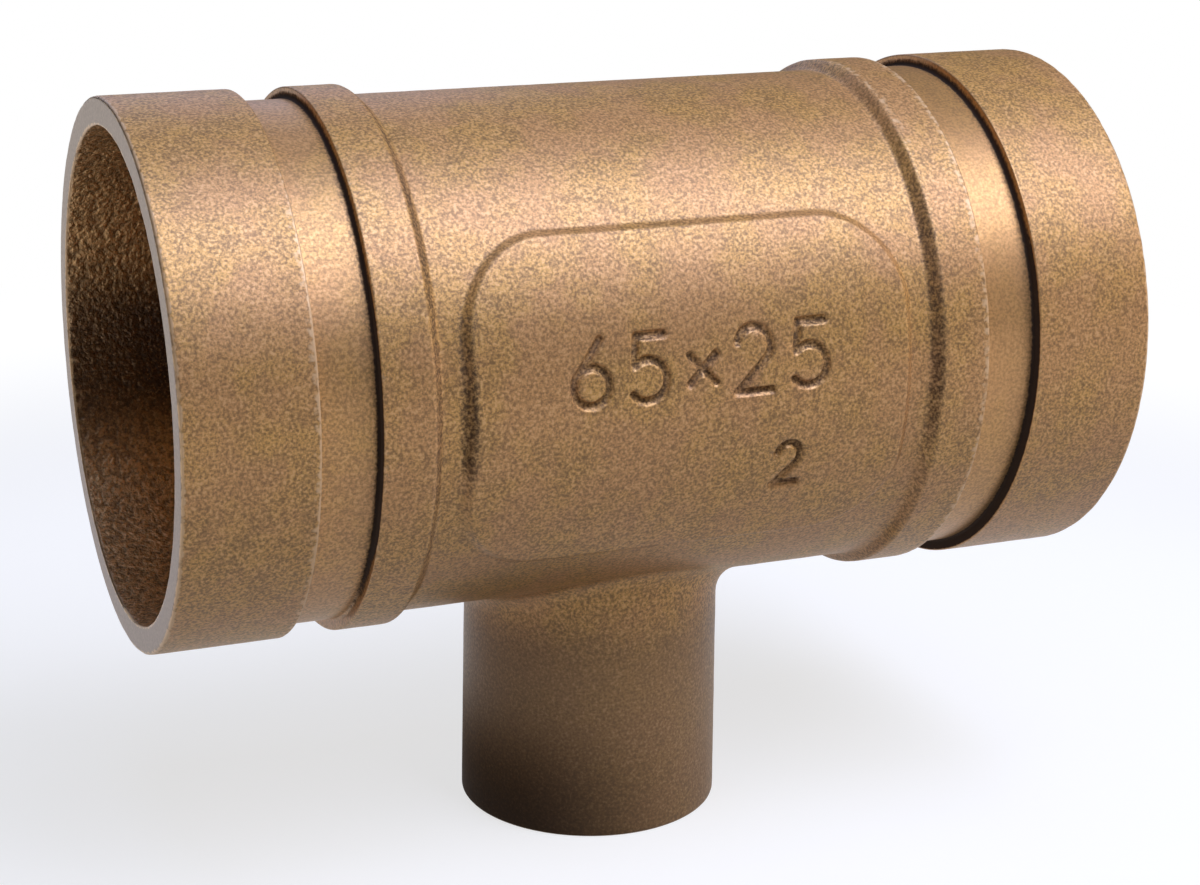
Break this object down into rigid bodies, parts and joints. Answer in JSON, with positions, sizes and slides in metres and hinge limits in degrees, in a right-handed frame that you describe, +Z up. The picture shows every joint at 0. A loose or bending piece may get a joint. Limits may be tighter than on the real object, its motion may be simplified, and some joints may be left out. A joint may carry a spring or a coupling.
{
  "type": "grooved reducing tee",
  "caption": "Cast bronze reducing tee: a straight run with a grooved end on each side and a smaller branch with a socket for soldered copper tube.",
  "frame": {"origin": "centre of the branch mouth, on the surface that the tee stands on", "axes": "+X along the run, +Y to the back, away from the marking pad, +Z up the branch to the run"},
  "size_m": [0.123, 0.0666, 0.0961],
  "materials": {
    "cast_bronze": "sand-cast and blasted, with turned grooves and end faces"
  },
  "bodies": {
    "root": {"tee_body": "cast_bronze"}
  },
  "joints": []
}
